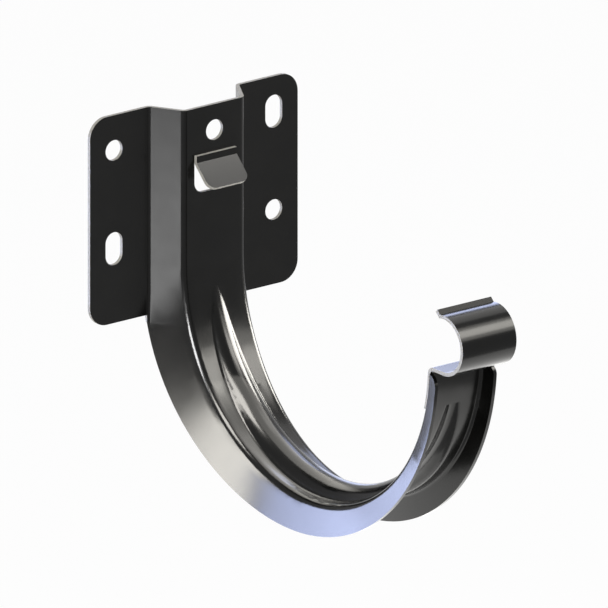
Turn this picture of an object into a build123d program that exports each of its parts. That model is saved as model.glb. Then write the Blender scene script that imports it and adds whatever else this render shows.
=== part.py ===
from build123d import *
from math import asin, atan, cos, degrees, pi, radians, sin, sqrt, tan
import os

os.makedirs("parts", exist_ok=True)

# Gutter bracket, one pressed sheet of steel. Millimetres, +Z up.
# The wall is the plane Y = 0 and the gutter hangs in front of it, towards -Y.
# The origin lies on the wall plane, midway between the two round screw holes.

# Sheet
sheet = 1.2                 # thickness
bend_in = 1.4               # inside radius of every bend
bend_out = bend_in + sheet

# Gutter seat: the half circle the gutter lies in
seat_radius = 63.0          # for a half round gutter 125 mm wide, with half a millimetre to spare
web_rise = 12.0             # front of the raised web, measured from the wall
seat_drop = 24.0            # gutter's centre level, below the origin
seat_y = -(web_rise + seat_radius)
seat_z = -seat_drop

# Wall plate
plate_width = 85.0
plate_top = 28.6
plate_bottom = -42.0
plate_corner = 6.8
notch_round = 2.5           # ear's lower edge runs into the rim with this radius
foot_half = 19.2            # where the flanks' outer faces reach the wall plane

# Channel: half width of the web and lean of its flanks, closing in round the seat
web_half_plate = 12.2
web_half_seat = 11.1
lean_seat = 14.5

# Free rim of the flanks, a larger circle set a little back from the seat
rim_radius = 73.0
rim_z = seat_z - 1.0
rim_y = -sqrt(rim_radius**2 - (rim_z - plate_bottom) ** 2)
flank_end_drop = 3.9        # the flanks stop this far below the gutter's centre level
flank_end_corner = 3.5
leg = 24.0                  # flanks are drawn this long, then trimmed to the rim

# Stiffening rib pressed inwards along the web
rib_height = 5.0
rib_half = 6.4
rib_deep = 7.5              # half height of its oval section, of which the top shows
rib_reach = 82.0            # degrees to either side of the lowest point

# Bead: shelf, curl and lip that hold the gutter's front edge
shelf_under = 2.6           # underside, below the centre level
curl_outer = 10.2
curl_out = 8.0              # curl's centre, in front of the seat
curl_past_top = 14.0        # degrees the curl runs on past its top
lip_length = 2.6
lip_rise = 45.0
bead_half = 11.0

# Screw holes and slots
hole_diameter = 6.9
hole_x = 32.7
hole_row = 16.7             # rows lie this far above and below the origin
slot_straight = 4.2
web_hole_z = 19.9

# Tab cut free on three sides and bent out of the web
tab_top = 9.9
tab_half = 8.2
tab_length = 10.4
tab_lean = 45.0
tab_corner = 3.0
window_height = 10.2
window_corner = 3.6


def station(angle, tilt):
    """Plane across the channel at an angle round the seat, itself tilted out of the level."""
    a = radians(angle)
    t = radians(tilt)
    y = seat_y + seat_radius * (cos(a) - cos(t))
    z = seat_z - seat_radius * (sin(a) - sin(t))
    return Plane(origin=(0, y, z), x_dir=(1, 0, 0), z_dir=(0, sin(t), cos(t)))


def around(centre_y, centre_z, radius, angle):
    """Point in the side view, the angle measured from the wall side downwards."""
    a = radians(angle)
    return (centre_y + radius * cos(a), centre_z - radius * sin(a))


def channel_section(half, lean):
    """Open channel: web on the seat radius, two leaning flanks pointing away from the gutter."""
    out = half + leg * tan(radians(lean))
    with BuildSketch(Plane.XY) as section:
        with BuildLine():
            FilletPolyline(
                (-out, seat_radius + leg),
                (-half, seat_radius),
                (half, seat_radius),
                (out, seat_radius + leg),
                radius=bend_out,
            )
            offset(amount=sheet, side=Side.LEFT)
        make_face()
    return section.sketch


# The flanks keep their foot on the wall plane as far down as the ears reach,
# then close in smoothly to the narrower section at the lowest point of the seat
low_end = plate_bottom - notch_round
low_angle = degrees(asin((seat_z - low_end) / seat_radius))
low_depth = -seat_y - seat_radius * cos(radians(low_angle))
lean_low = degrees(atan((foot_half - web_half_plate) / low_depth))


def blend(start, end, turn):
    """Smooth change from start to end while turn runs from 0 to 1."""
    return end + (start - end) * (1 + cos(pi * turn)) / 2


# Side view of the channel, drawn flat with Y to the right and Z up:
# wall plate at the back, the rim's circle below it, and the rounded front ends
with BuildSketch(Plane.XY) as front_end:
    with Locations((rim_y, rim_z)):
        Circle(rim_radius)
    with Locations((seat_y, seat_z - flank_end_drop)):
        Rectangle(200, 200, align=(Align.MAX, Align.MAX), mode=Mode.INTERSECT)
    fillet(front_end.vertices().sort_by(Axis.Y)[-2:].sort_by(Axis.X)[0], flank_end_corner)

with BuildSketch(Plane.XY) as back_end:
    with Locations((rim_y, rim_z)):
        Circle(rim_radius)
    with Locations((seat_y - 1, low_end)):
        Rectangle(200, 200, align=(Align.MIN, Align.MAX), mode=Mode.INTERSECT)

with BuildSketch(Plane.XY) as side_view:
    add(front_end.sketch)
    add(back_end.sketch)

# Bead in side view: it rises out of the seat, turns forwards, curls up and over, and ends in a lip
curl_y = seat_y - seat_radius - curl_out
curl_z = seat_z - shelf_under + curl_outer
curl_inner = curl_outer - sheet
shelf_top = seat_z - shelf_under + sheet
curl_end = around(curl_y, curl_z, curl_inner, -90 + curl_past_top)
lip_dir = radians(lip_rise)
with BuildSketch(Plane.XY) as bead_view:
    with BuildLine():
        turn_z = shelf_top - bend_out
        turn_y = seat_y - sqrt((seat_radius + bend_out) ** 2 - (turn_z - seat_z) ** 2)
        low = around(seat_y, seat_z, seat_radius, 165)
        touch_angle = 180 - degrees(asin((seat_z - turn_z) / (seat_radius + bend_out)))
        touch = around(seat_y, seat_z, seat_radius, touch_angle)
        RadiusArc(low, touch, seat_radius)
        RadiusArc(touch, (turn_y, shelf_top), -bend_out)
        Line((turn_y, shelf_top), (curl_y, shelf_top))
        ThreePointArc((curl_y, shelf_top), (curl_y - curl_inner, curl_z), curl_end)
        Line(curl_end, (curl_end[0] + lip_length * cos(lip_dir), curl_end[1] + lip_length * sin(lip_dir)))
        offset(amount=sheet, side=Side.LEFT)
    make_face()


# Rib: a slender ring, oval in section, that just breaks through the web, highest at the lowest point
rib_wide = rib_half / sqrt(1 - (1 - rib_height / rib_deep) ** 2)
rib_rise = (seat_radius**2 - (seat_radius - rib_height) ** 2) / (
    2 * (seat_radius - rib_height - seat_radius * cos(radians(rib_reach)))
)
rib_crest = seat_radius - rib_height + rib_rise
rib_z = seat_z + rib_rise


def plate_section(z):
    """Level cut through the wall plate: both ears, both flanks and the web."""
    depth = -seat_y - sqrt(seat_radius**2 - min(z - seat_z, 0) ** 2)
    foot_front = foot_half - (foot_half - web_half_plate) * sheet / depth
    with BuildSketch(Plane.XY) as section:
        with BuildLine():
            FilletPolyline(
                (-plate_width, -sheet),
                (-foot_front, -sheet),
                (-web_half_plate, -depth),
                (web_half_plate, -depth),
                (foot_front, -sheet),
                (plate_width, -sheet),
                radius=(bend_in, bend_out, bend_out, bend_in),
            )
            offset(amount=sheet, side=Side.LEFT)
        make_face()
    return section.sketch


with BuildPart() as plate:
    # the section stays the same down to the gutter's centre level
    with BuildSketch(Plane.XY.offset(seat_z)):
        add(plate_section(seat_z))
    extrude(amount=plate_top - seat_z)

    # below it the web follows the seat while the ears stay flat
    for part_way in range(6):
        level = seat_z + (low_end - seat_z) * part_way / 5
        with BuildSketch(Plane.XY.offset(level)):
            add(plate_section(level))
    loft()

    # outline of the ears, running on into the flanks
    with BuildSketch(Plane.XZ) as outline:
        with Locations((0, (plate_top + plate_bottom) / 2)):
            RectangleRounded(plate_width, plate_top - plate_bottom, plate_corner)
        with Locations((0, plate_bottom + 1)):
            Rectangle(2 * foot_half, notch_round + 2, align=(Align.CENTER, Align.MAX))
        notches = outline.vertices().filter_by(
            lambda v: abs(v.Z - plate_bottom) < 0.01 and abs(abs(v.X) - foot_half) < 0.01
        )
        fillet(notches, notch_round)
    extrude(amount=web_rise + 10, mode=Mode.INTERSECT)

    # below the ears the flanks already follow the rim
    with BuildSketch(Plane.YZ):
        with Locations((0, plate_bottom)):
            Rectangle(20, 20, align=(Align.CENTER, Align.MAX))
        with Locations((rim_y, rim_z)):
            Circle(rim_radius, mode=Mode.SUBTRACT)
    extrude(amount=plate_width, both=True, mode=Mode.SUBTRACT)


def ring(inset):
    """Ring round the rib's axis; its crest lies inside the seat only near the lowest point."""
    with BuildPart() as part:
        with BuildSketch(Plane((0, seat_y, rib_z), x_dir=(1, 0, 0), z_dir=(0, -1, 0))):
            with Locations((0, rib_crest + rib_deep)):
                Ellipse(rib_wide - inset, rib_deep - inset)
        revolve(axis=Axis((0, seat_y, rib_z), (1, 0, 0)))
        with Locations((0, seat_y, seat_z - 5)):
            Box(100, 400, 400, align=(Align.CENTER, Align.CENTER, Align.MAX), mode=Mode.INTERSECT)
    return part.part


with BuildPart() as rib_skin:
    add(ring(0))
    with Locations((0, seat_y, seat_z)):
        Cylinder(seat_radius + sheet / 2, 100, rotation=(0, 90, 0), mode=Mode.INTERSECT)


def rib_feet(part, radius):
    """Long edges where the rib leaves the web, on the side of the web with this radius."""
    feet = []
    for edge in part.edges().filter_by(GeomType.BSPLINE):
        spot = edge.position_at(0.5)
        from_axis = sqrt((spot.Y - seat_y) ** 2 + (spot.Z - seat_z) ** 2)
        if edge.length > 2 * rib_half and abs(spot.X) < rib_half and abs(from_axis - radius) < sheet / 4:
            feet.append(edge)
    return feet


with BuildPart() as tab:
    tilt = radians(tab_lean)
    with BuildSketch(Plane.YZ):
        with BuildLine():
            FilletPolyline(
                (-web_rise, tab_top + 2 * bend_in),
                (-web_rise, tab_top),
                (-web_rise - tab_length * sin(tilt), tab_top - tab_length * cos(tilt)),
                radius=bend_in,
            )
            offset(amount=sheet, side=Side.RIGHT)
        make_face()
    extrude(amount=tab_half, both=True)
    # outline of the tab, seen square on
    face_on = Plane((0, -web_rise, tab_top), x_dir=(1, 0, 0), z_dir=(0, -cos(tilt), sin(tilt)))
    with BuildSketch(face_on):
        with Locations((0, -tab_length)):
            tab_outline = Rectangle(2 * tab_half, 2 * tab_length, align=(Align.CENTER, Align.MIN))
        fillet(tab_outline.vertices().sort_by(Axis.Y)[:2], tab_corner)
    extrude(amount=20, both=True, mode=Mode.INTERSECT)

with BuildPart() as gutter_bracket:
    # back of the hook: the flanks close in as they leave the wall
    for turn in (0, 0.125, 0.25, 0.375, 0.5, 0.625, 0.75, 0.875, 1):
        angle = low_angle + (90 - low_angle) * turn
        half = blend(web_half_plate, web_half_seat, turn)
        lean = blend(lean_low, lean_seat, turn)
        with BuildSketch(station(angle, 90 * turn)):
            add(channel_section(half, lean))
    loft()

    # front of the hook
    with BuildSketch(station(90, 90)):
        add(channel_section(web_half_seat, lean_seat))
    revolve(axis=Axis((0, seat_y, seat_z), (1, 0, 0)), revolution_arc=-88)

    # trimmed to the side view
    with BuildSketch(Plane.YZ):
        add(side_view.sketch)
    extrude(amount=plate_width, both=True, mode=Mode.INTERSECT)
    add(plate.part)

    # stiffening rib, pressed to an even thickness
    add(rib_skin.part)
    add(ring(sheet), mode=Mode.SUBTRACT)
    fillet(rib_feet(gutter_bracket, seat_radius), bend_in)
    fillet(rib_feet(gutter_bracket, seat_radius + sheet), bend_out)

    # bead, as wide as the web
    with BuildSketch(Plane.YZ):
        add(bead_view.sketch)
    extrude(amount=bead_half, both=True)

    # screw holes: round ones on one diagonal of the ears, slots on the other
    with BuildSketch(Plane.XZ):
        with Locations((-hole_x, hole_row), (hole_x, -hole_row)):
            Circle(hole_diameter / 2)
        with Locations((hole_x, hole_row), (-hole_x, -hole_row)):
            SlotCenterToCenter(slot_straight, hole_diameter, rotation=90)
    extrude(amount=2 * sheet, both=True, mode=Mode.SUBTRACT)

    # hole and window in the raised web
    with BuildSketch(Plane.XZ.offset(web_rise)):
        with Locations((0, web_hole_z)):
            Circle(hole_diameter / 2)
        with Locations((0, tab_top - window_height)):
            window = Rectangle(
                2 * tab_half,
                window_height + bend_in * tan(tilt / 2),
                align=(Align.CENTER, Align.MIN),
            )
        fillet(window.vertices().sort_by(Axis.Y)[:2], window_corner)
    extrude(amount=2 * sheet, both=True, mode=Mode.SUBTRACT)
    add(tab.part)

gutter_bracket.part.label = "gutter_bracket"
export_step(gutter_bracket.part, "parts/gutter_bracket.step")
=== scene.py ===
# %% [markdown]
# A bracket that carries a half-round gutter, pressed from one sheet of steel. The CAD part gives
# the exact sheet. This file gives it its finish, a dark gloss coat with pale bare edges where the
# press cut it, and puts a plain pale studio round it. All lengths are metres, as Blender counts.

# %% Load the part
import math

import bmesh
import bpy
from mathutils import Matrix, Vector


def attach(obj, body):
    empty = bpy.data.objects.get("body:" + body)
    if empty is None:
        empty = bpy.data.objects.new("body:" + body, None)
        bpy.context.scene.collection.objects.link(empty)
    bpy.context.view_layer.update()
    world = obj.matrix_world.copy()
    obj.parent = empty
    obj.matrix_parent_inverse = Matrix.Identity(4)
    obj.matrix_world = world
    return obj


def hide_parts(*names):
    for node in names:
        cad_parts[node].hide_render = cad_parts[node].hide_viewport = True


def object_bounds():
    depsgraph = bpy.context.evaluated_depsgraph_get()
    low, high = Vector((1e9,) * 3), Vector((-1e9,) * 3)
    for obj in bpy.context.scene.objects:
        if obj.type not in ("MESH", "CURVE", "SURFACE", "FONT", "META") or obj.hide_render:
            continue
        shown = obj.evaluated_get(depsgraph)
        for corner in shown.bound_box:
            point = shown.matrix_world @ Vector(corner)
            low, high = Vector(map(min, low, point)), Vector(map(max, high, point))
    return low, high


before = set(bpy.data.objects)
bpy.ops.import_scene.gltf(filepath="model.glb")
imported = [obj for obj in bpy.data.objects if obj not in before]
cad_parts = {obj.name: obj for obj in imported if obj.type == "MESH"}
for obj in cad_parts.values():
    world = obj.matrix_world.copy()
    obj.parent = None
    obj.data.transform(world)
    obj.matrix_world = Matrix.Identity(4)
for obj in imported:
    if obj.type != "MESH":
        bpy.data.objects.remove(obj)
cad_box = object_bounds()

cad_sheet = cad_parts["gutter_bracket"]
print("CAD sheet:", len(cad_sheet.data.polygons), "triangles")

# %% [markdown]
# The real sheet runs round its bends without a break. The CAD mesh is loose triangles that don't
# share their corners, so light breaks at every one of them. The sheet could be modelled again by
# hand, but its shape is exact already, so a copy of it only has its doubles merged. The copy then
# stands for the CAD node, which stays in place, hidden.

# %% A smooth copy of the sheet
MERGE = 0.000002        # corners closer than this become one

bpy.ops.object.select_all(action="DESELECT")
sheet = cad_sheet.copy()
sheet.data = cad_sheet.data.copy()
sheet.name = "bracket_sheet"
sheet.data.name = "bracket_sheet"
bpy.context.scene.collection.objects.link(sheet)
sheet.parent = None
sheet.matrix_world = cad_sheet.matrix_world.copy()
bpy.context.view_layer.objects.active = sheet
sheet.select_set(True)
bpy.ops.mesh.customdata_custom_splitnormals_clear()
bpy.ops.object.mode_set(mode="EDIT")
bpy.ops.mesh.select_all(action="SELECT")
bpy.ops.mesh.remove_doubles(threshold=MERGE)
bpy.ops.mesh.select_all(action="DESELECT")
bpy.ops.object.mode_set(mode="OBJECT")
print("Merged:", len(sheet.data.vertices), "vertices")

# %% [markdown]
# The press leaves two kinds of face: broad ones, which carry the coat, and narrow ones, one sheet
# thickness wide, where the blank was cut. They could be picked by hand, but there are thousands of
# triangles, so they are measured. Faces are gathered into regions that end at sharp edges. A long
# strip's area over half its outline is its width, so a region about as wide as the sheet is thick
# is a cut edge.

# %% Gather faces into regions
SHARP = math.radians(38)


def find_regions(piece):
    grid = bmesh.new()
    grid.from_mesh(piece.data)
    grid.faces.ensure_lookup_table()
    seen = set()
    found = []
    for first in grid.faces:
        if first.index in seen:
            continue
        seen.add(first.index)
        waiting = [first]
        members = []
        area = 0.0
        outline = 0.0
        while waiting:
            face = waiting.pop()
            members.append(face.index)
            area += face.calc_area()
            for side in face.edges:
                if side.calc_face_angle(0) > SHARP:
                    outline += side.calc_length()
                    continue
                for other in side.link_faces:
                    if other.index not in seen:
                        seen.add(other.index)
                        waiting.append(other)
        width = 2 * area / outline if outline else 0.0
        found.append((width, members))
    grid.free()
    return found


regions = find_regions(sheet)
print("Regions:", len(regions))

# %% [markdown]
# On the real sheet a cut face is as wide as the steel is thick. A short one measures less, since
# its ends count as outline too. Slivers where two forms meet keep the coat and measure far less
# still, and the other coated faces are wider. A list of faces would do, but it would be wrong
# after any change in CAD, so all that lies between two widths counts as cut.

# %% Find the cut faces
SHEET = 0.0012          # thickness of the steel
NARROWEST_CUT = SHEET * 0.5
WIDEST_CUT = SHEET * 1.15

cut_faces = []
for width, members in regions:
    if NARROWEST_CUT < width < WIDEST_CUT:
        cut_faces += members
print("Cut faces:", len(cut_faces), "of", len(sheet.data.polygons))

# %% [markdown]
# Paint and steel are never quite even. A picture of real paint could show that, but it needs the
# sheet unfolded flat. Noise on Object coordinates needs no unfolding and has no seams. One helper
# makes the noise, and two others turn it into a range of numbers or of colours.

# %% Noise, numbers and colours
NOISE_LOW = 0.35        # noise stays near its middle, so this range
NOISE_HIGH = 0.65       # holds nearly all of it


def noise(tree, waves, detail):
    coords = tree.nodes.new("ShaderNodeTexCoord")
    made = tree.nodes.new("ShaderNodeTexNoise")
    made.inputs["Scale"].default_value = waves
    made.inputs["Detail"].default_value = detail
    tree.links.new(coords.outputs["Object"], made.inputs["Vector"])
    return made.outputs["Fac"]


def spread(tree, source, low, high):
    made = tree.nodes.new("ShaderNodeMapRange")
    made.inputs["From Min"].default_value = NOISE_LOW
    made.inputs["From Max"].default_value = NOISE_HIGH
    made.inputs["To Min"].default_value = low
    made.inputs["To Max"].default_value = high
    tree.links.new(source, made.inputs["Value"])
    return made.outputs["Result"]


def tint(tree, source, dark, dark_until, pale, pale_from):
    made = tree.nodes.new("ShaderNodeValToRGB")
    first, last = made.color_ramp.elements
    first.position = dark_until
    first.color = (*dark, 1)
    last.position = pale_from
    last.color = (*pale, 1)
    tree.links.new(source, made.inputs["Fac"])
    return made.outputs["Color"]


print("Noise is used from", NOISE_LOW, "to", NOISE_HIGH)

# %% [markdown]
# The coat is a dark stoved paint: nearly black, with a clear gloss. One black colour would do from
# afar. Up close the paint is a little thinner here and there, which a broad noise gives as colour,
# and handling leaves the gloss uneven, which a finer one gives as roughness.

# %% The coat
COAT_SHINE = 0.16
COAT_BLACK = (0.0016, 0.0016, 0.0014)
COAT_DARK_GREY = (0.0034, 0.0033, 0.0029)
COAT_SMOOTHEST = 0.17
COAT_ROUGHEST = 0.195

coat = bpy.data.materials.new("dark_gloss_coat")
coat.use_nodes = True
tree = coat.node_tree
shader = tree.nodes["Principled BSDF"]
shader.inputs["Specular IOR Level"].default_value = COAT_SHINE

cloud = noise(tree, waves=55, detail=4)
paint = tint(tree, cloud, COAT_BLACK, 0.35, COAT_DARK_GREY, 0.7)
tree.links.new(paint, shader.inputs["Base Color"])

handling = noise(tree, waves=140, detail=5)
gloss = spread(tree, handling, COAT_SMOOTHEST, COAT_ROUGHEST)
tree.links.new(gloss, shader.inputs["Roughness"])
print("Coat:", coat.name, "with roughness", COAT_SMOOTHEST, "to", COAT_ROUGHEST)

# %% [markdown]
# Sprayed paint dries with a faint orange peel, which makes a mirrored edge tremble. It could be
# modelled as small dents in the mesh, but it is a tenth of a millimetre deep at most, so a bump
# does it: the light is turned, and the shape stays flat.

# %% The coat's orange peel
PEEL_STRENGTH = 0.02
PEEL_HEIGHT = 0.0001

peel = noise(tree, waves=420, detail=2)
bump = tree.nodes.new("ShaderNodeBump")
bump.inputs["Strength"].default_value = PEEL_STRENGTH
bump.inputs["Distance"].default_value = PEEL_HEIGHT
tree.links.new(peel, bump.inputs["Height"])
tree.links.new(bump.outputs["Normal"], shader.inputs["Normal"])
print("Orange peel:", PEEL_HEIGHT * 1000, "mm deep at most")

# %% [markdown]
# Where the blank was sheared the coat is thin, so pale steel shows. A metallic shader is the usual
# choice for steel, but a strip this narrow would mirror one light panel and turn white all over.
# A rough grey with hardly any shine keeps its own colour from every side.

# %% The bare edge
EDGE_SHINE = 0.12
EDGE_GREY = (0.34, 0.325, 0.295)
EDGE_PALE = (0.52, 0.50, 0.455)
EDGE_SMOOTHEST = 0.45
EDGE_ROUGHEST = 0.6

edge = bpy.data.materials.new("bare_cut_steel")
edge.use_nodes = True
tree = edge.node_tree
shader = tree.nodes["Principled BSDF"]
shader.inputs["Specular IOR Level"].default_value = EDGE_SHINE

grain = noise(tree, waves=1500, detail=4)
steel = tint(tree, grain, EDGE_GREY, 0.3, EDGE_PALE, 0.7)
tree.links.new(steel, shader.inputs["Base Color"])
rough = spread(tree, grain, EDGE_SMOOTHEST, EDGE_ROUGHEST)
tree.links.new(rough, shader.inputs["Roughness"])
print("Edge:", edge.name, "with roughness", EDGE_SMOOTHEST, "to", EDGE_ROUGHEST)

# %% [markdown]
# The coated and the bare faces could be two objects, but the real sheet is one piece, so the mesh
# stays one and has two material slots, by number: 0 is the coat and 1 the bare edge. Smooth
# shading up to an angle keeps the sheet's own corners crisp and lets light run round its bends.

# %% Put both finishes on the sheet
SMOOTH_UP_TO = math.radians(32)
BARE = 1

sheet.data.materials.clear()
sheet.data.materials.append(coat)
sheet.data.materials.append(edge)
for index in cut_faces:
    sheet.data.polygons[index].material_index = BARE
cad_sheet.data.materials.clear()
cad_sheet.data.materials.append(coat)

bpy.ops.object.select_all(action="DESELECT")
sheet.select_set(True)
bpy.context.view_layer.objects.active = sheet
bpy.ops.object.shade_smooth_by_angle(angle=SMOOTH_UP_TO)
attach(sheet, "root")
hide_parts("gutter_bracket")
print("Finished:", sheet.name, "in", [slot.name for slot in sheet.data.materials])

# %% [markdown]
# The bracket hangs in front of a plain white surround. More light would turn the background white
# too, but it would wash out the bracket. Light Path tells what a ray is for, so the surround can
# be white where it is seen, directly or in the gloss, and softer where it only gives light.

# %% White where it is seen
ROOM_LIGHT = 0.5
ROOM_SEEN = 1.0         # plain white


def by_ray(tree, as_light, as_seen):
    path = tree.nodes.new("ShaderNodeLightPath")
    seen = path.outputs["Is Camera Ray"]
    for ray in ("Is Glossy Ray", "Is Transmission Ray"):
        either = tree.nodes.new("ShaderNodeMath")
        either.operation = "MAXIMUM"
        tree.links.new(seen, either.inputs[0])
        tree.links.new(path.outputs[ray], either.inputs[1])
        seen = either.outputs["Value"]
    level = tree.nodes.new("ShaderNodeMapRange")
    level.inputs["To Min"].default_value = as_light
    level.inputs["To Max"].default_value = as_seen
    tree.links.new(seen, level.inputs["Value"])
    return level.outputs["Result"]


world = bpy.data.worlds.new("studio")
bpy.context.scene.world = world
world.use_nodes = True
tree = world.node_tree
back = tree.nodes["Background"]
back.inputs["Color"].default_value = (1, 1, 1, 1)
tree.links.new(by_ray(tree, ROOM_LIGHT, ROOM_SEEN), back.inputs["Strength"])
print("Room light:", ROOM_LIGHT, "and seen as", ROOM_SEEN)

# %% [markdown]
# A bracket like this is shown hanging free, so the floor lies some way below it, where its shadow
# is wide and faint. A curved backdrop would do as well, but the room is white all round, and a
# plain square is enough under it.

# %% Floor
FLOOR_SIZE = 3
FLOOR_DROP = 0.20       # below the lowest point of the hook

bpy.ops.object.select_all(action="DESELECT")
bpy.ops.mesh.primitive_plane_add(size=FLOOR_SIZE, location=(0, 0, cad_box[0].z - FLOOR_DROP))
floor = bpy.context.object
floor.name = "floor"
bpy.ops.object.transform_apply(location=True, rotation=False, scale=True)
print("Floor at", round(cad_box[0].z - FLOOR_DROP, 3))

# %% [markdown]
# A matt white floor would look grey under this light, and one that only glows would lose the
# shadow. So the floor is matt, and where it is seen a plain white glow covers most of that.

# %% The floor's finish
FLOOR_GLOW = 0.95       # share of the glow where the floor is seen

pale = bpy.data.materials.new("pale_floor")
pale.use_nodes = True
tree = pale.node_tree
matt = tree.nodes["Principled BSDF"]
matt.inputs["Base Color"].default_value = (0.9, 0.9, 0.9, 1)
matt.inputs["Roughness"].default_value = 0.9
glow = tree.nodes.new("ShaderNodeEmission")
glow.inputs["Color"].default_value = (1, 1, 1, 1)
glow.inputs["Strength"].default_value = 1.0
mix = tree.nodes.new("ShaderNodeMixShader")
tree.links.new(by_ray(tree, 0.0, FLOOR_GLOW), mix.inputs["Fac"])
tree.links.new(matt.outputs["BSDF"], mix.inputs[1])
tree.links.new(glow.outputs["Emission"], mix.inputs[2])
tree.links.new(mix.outputs["Shader"], tree.nodes["Material Output"].inputs["Surface"])
floor.data.materials.append(pale)
print("Floor finish:", pale.name)

# %% [markdown]
# Gloss only looks like gloss when it has something to mirror, and a studio has light panels for
# that. A glowing plane would do, but it would be one more object to keep out of the model, and an
# area lamp is none. It is hidden from the camera and from matt surfaces, so it shows in the gloss
# alone. Each panel stands some distance from a spot on the bracket, on the way that the spot
# mirrors. A brightness of 1 is that of the white surround.

# %% How a light panel is set up
WHITE = (1, 1, 1)
PEARL = (1, 0.99, 0.96)
IVORY = (1, 0.98, 0.95)
CREAM = (1.0, 0.97, 0.90)
COOL = (0.59, 0.67, 1.0)


def panel(name, spot, way, distance, size, brightness, colour):
    way = Vector(way).normalized()
    bpy.ops.object.light_add(type="AREA", location=Vector(spot) + way * distance)
    lamp = bpy.context.object
    lamp.name = name
    lamp.data.shape = "RECTANGLE"
    lamp.data.size, lamp.data.size_y = size
    lamp.data.energy = brightness * math.pi * size[0] * size[1]
    lamp.data.color = colour
    lamp.rotation_euler = way.to_track_quat("Z", "Y").to_euler()
    lamp.visible_camera = False
    lamp.visible_diffuse = False
    print(name, "watts", round(lamp.data.energy, 2))


# %% [markdown]
# The near side of the bracket is one long flank that faces left. On the plate it mirrors a dim
# panel low on the left, on the hook a bright cream one, and further round two cool ones behind.
# One panel could light it all, but the change from cream to cool shows that the hook is round.

# %% Panels for the side
plate_spot = (-0.016, -0.006, 0.005)
hook_spot = (-0.012, -0.060, -0.080)

panel("panel_low", plate_spot, (-0.935, -0.14, -0.36), 0.6, (0.16, 0.10), 15, WHITE)
panel("panel_left", hook_spot, (-0.9026, 0.4305, 0.05), 0.6, (0.17, 0.25), 48, CREAM)
panel("panel_back", hook_spot, (-0.6845, 0.729, -0.08), 0.5, (0.18, 0.20), 32, COOL)
panel("panel_back_far", hook_spot, (-0.43, 0.90, -0.16), 0.5, (0.15, 0.20), 17, COOL)

# %% [markdown]
# The curl at the front shows one light band along its roundness, bright in the middle and soft at
# both edges. A single panel would give it hard edges, so a smaller, brighter one stands before a
# large dim one.

# %% Panels for the band on the curl
curl_spot = (0.0, -0.146, -0.008)

panel("panel_front", curl_spot, (0.585, -0.582, 0.565), 2.0, (0.9, 1.35), 7, CREAM)
panel("panel_front_core", curl_spot, (0.585, -0.578, 0.569), 1.9, (0.8, 0.60), 15, CREAM)

# %% [markdown]
# The rib and the bends beside it are narrow and turn fast, so they mirror a wide piece of the room
# in a thin streak. Strong panels on the left, above and on the right give a bright streak each,
# and a dim one high up lifts the web between them.

# %% Panels for the rib and the bends
panel("panel_rim", hook_spot, (-0.80, -0.50, 0.30), 0.7, (0.30, 0.26), 85, WHITE)
panel("panel_rib", hook_spot, (-0.55, -0.22, 0.80), 0.7, (0.30, 0.36), 50, CREAM)
panel("panel_right", hook_spot, (0.90, -0.16, 0.30), 0.6, (0.32, 0.32), 40, CREAM)
panel("panel_over", hook_spot, (0.585, 0.20, 0.78), 1.0, (0.5, 0.4), 2.2, IVORY)

# %% [markdown]
# At the front the hook turns its open channel to the camera, and that mirrors what lies below.
# The white floor alone leaves it too dark, so two panels lie over the floor. Their spots are in
# the air, almost straight above them. A panel that looks straight up could lie turned any way, so
# each is tipped a little, which settles that.

# %% Panels below the open channel
under_spot = (0.10, -0.115, 0.03)
under_left_spot = (-0.06, 0.0, 0.03)

panel("panel_under", under_spot, (0.12, 0, -0.99), 0.25, (0.43, 0.20), 2.3, PEARL)
panel("panel_under_left", under_left_spot, (-0.12, 0, -0.99), 0.25, (0.26, 0.22), 2.1, PEARL)

# %% [markdown]
# Two places need a light of their own: the tab, which is too dark against the plate without one,
# and the bottom of the hook, where the plate hides the rest of the room. Large panels would show
# all over the bracket. These are small and near, so hardly any other part mirrors them.

# %% Small panels for the tab and the bottom of the hook
tab_spot = (0.0, -0.0155, 0.0064)
hook_low_spot = (0.0, -0.080, -0.084)

panel("panel_tab", tab_spot, (0.585, -0.314, 0.748), 0.10, (0.03, 0.04), 5, IVORY)
panel("panel_inside", hook_low_spot, (0.10, 0.66, 0.74), 0.055, (0.034, 0.034), 7, CREAM)

# %% [markdown]
# The top of the curl and the shelf below it lie flat and mirror what is low behind the bracket.
# A blue world would colour everything. Two cool panels give only what lies flat a sky's colour.

# %% Cool panels for the curl's top and the shelf
panel("panel_sky", curl_spot, (0.585, 0.72, 0.36), 0.3, (0.09, 0.09), 7, COOL)
panel("panel_sky_low", curl_spot, (0.585, 0.80, 0.06), 1.2, (0.35, 0.36), 3, COOL)

# %% [markdown]
# The panels leave matt surfaces alone. A sun would light those with hard shadows, and one large
# soft lamp in front, together with the room, gives the plain light by which a colour looks as it
# is written.

# %% Plain light
SOFT_PLACE = (-0.6, -1.2, 0.9)
SOFT_SIZE = 1.0
SOFT_WATTS = 12

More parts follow.
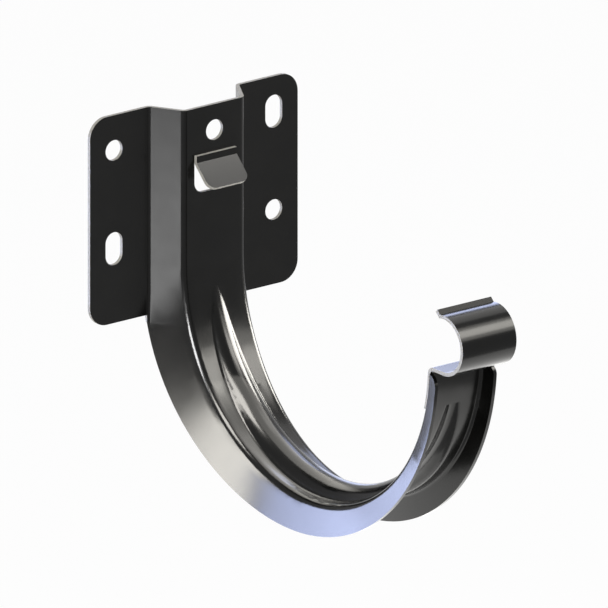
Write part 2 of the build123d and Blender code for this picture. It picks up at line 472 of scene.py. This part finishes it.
bpy.ops.object.light_add(type="AREA", location=SOFT_PLACE)
soft = bpy.context.object
soft.name = "soft_lamp"
soft.data.size = SOFT_SIZE
soft.data.energy = SOFT_WATTS
soft.rotation_euler = Vector(SOFT_PLACE).to_track_quat("Z", "Y").to_euler()
soft.visible_camera = False
soft.visible_glossy = False
print("Soft lamp:", SOFT_WATTS, "watts")

# %% [markdown]
# The bracket is seen from the left and a little from above. How far above could be tried out by
# eye, but the plate's level edges tell it: the higher the camera, the more steeply they rise
# across the picture.

# %% Where the camera looks from
AZIMUTH = math.radians(-38.0)
EDGE_SLOPE = 0.245      # of the plate's level edges in the picture
ELEVATION = math.asin(EDGE_SLOPE / math.tan(-AZIMUTH))

toward = Vector((
    math.sin(AZIMUTH) * math.cos(ELEVATION),
    -math.cos(AZIMUTH) * math.cos(ELEVATION),
    math.sin(ELEVATION),
))
turn = toward.to_track_quat("Z", "Y")
right = turn @ Vector((1, 0, 0))
up = turn @ Vector((0, 1, 0))
print("Camera looks down by", round(math.degrees(ELEVATION), 1), "degrees")

# %% [markdown]
# In the photograph parallel edges stay parallel, as from very far away. A long lens comes close to
# that, and an orthographic camera gives exactly that. The middle of the plate's top edge, level
# with the front face of its ears, is a known point, and its place in the picture sets the frame.

# %% Camera
FRAME = 608             # pixels across, and down
SCALE = 3100.0          # pixels to the metre
PLATE_TOP_X = 193.9     # pixels from the left
PLATE_TOP_Y = 95.7      # pixels from the top
DISTANCE = 1.5

plate_top = Vector((0, -SHEET, cad_box[1].z))
across = (FRAME / 2 - PLATE_TOP_X) / SCALE
down = (FRAME / 2 - PLATE_TOP_Y) / SCALE
centre = plate_top + right * across - up * down

bpy.ops.object.camera_add(location=centre + toward * DISTANCE)
camera = bpy.context.object
camera.name = "camera"
camera.rotation_mode = "QUATERNION"
camera.rotation_quaternion = turn
camera.data.type = "ORTHO"
camera.data.ortho_scale = FRAME / SCALE
bpy.context.scene.camera = camera
bpy.context.scene.view_settings.view_transform = "Standard"
print("Frame:", round(FRAME / SCALE, 4), "metres across")

# %% [markdown]
# The finish may not make the bracket larger or smaller than the CAD part. A look would not show
# that, so the CAD part's box is printed.

# %% Print the CAD part's size
print("CAD box", [tuple(round(c, 4) for c in corner) for corner in cad_box])
